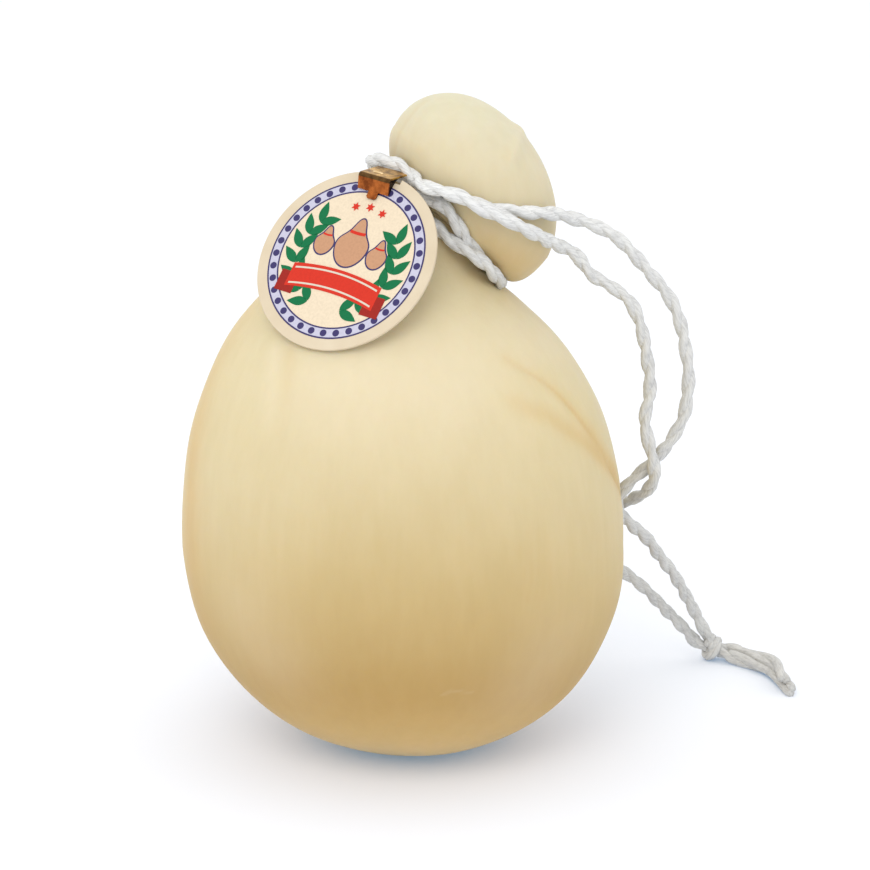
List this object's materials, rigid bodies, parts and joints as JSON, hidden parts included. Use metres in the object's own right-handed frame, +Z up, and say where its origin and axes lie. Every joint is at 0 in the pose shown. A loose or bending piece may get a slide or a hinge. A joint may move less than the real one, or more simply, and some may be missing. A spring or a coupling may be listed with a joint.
{
  "type": "caciocavallo cheese",
  "caption": "Pear-shaped stretched-curd cheese with a tied neck and a small head, carrying a round card tag on a brass clip and loose white twine with a knotted end.",
  "frame": {"origin": "on the table, under the middle of the body", "axes": "+Z up, -Y towards the tagged front, +X to the right, the side that the head leans to and the twine hangs on"},
  "size_m": [0.2116, 0.152, 0.216],
  "materials": {
    "rind": "smooth waxy cheese rind with a soft sheen, paler towards the top",
    "card": "coated card with plain printed shapes on its face",
    "brass": "thin pressed brass, slightly tarnished",
    "twine": "white two-ply twine"
  },
  "bodies": {
    "root": {"cheese": "rind", "tag": "card", "clip": "brass", "neck_turn_upper": "twine", "neck_turn_lower": "twine", "strand_outer": "twine", "strand_inner": "twine", "knot": "twine", "tail_near": "twine", "tail_far": "twine"}
  },
  "joints": []
}
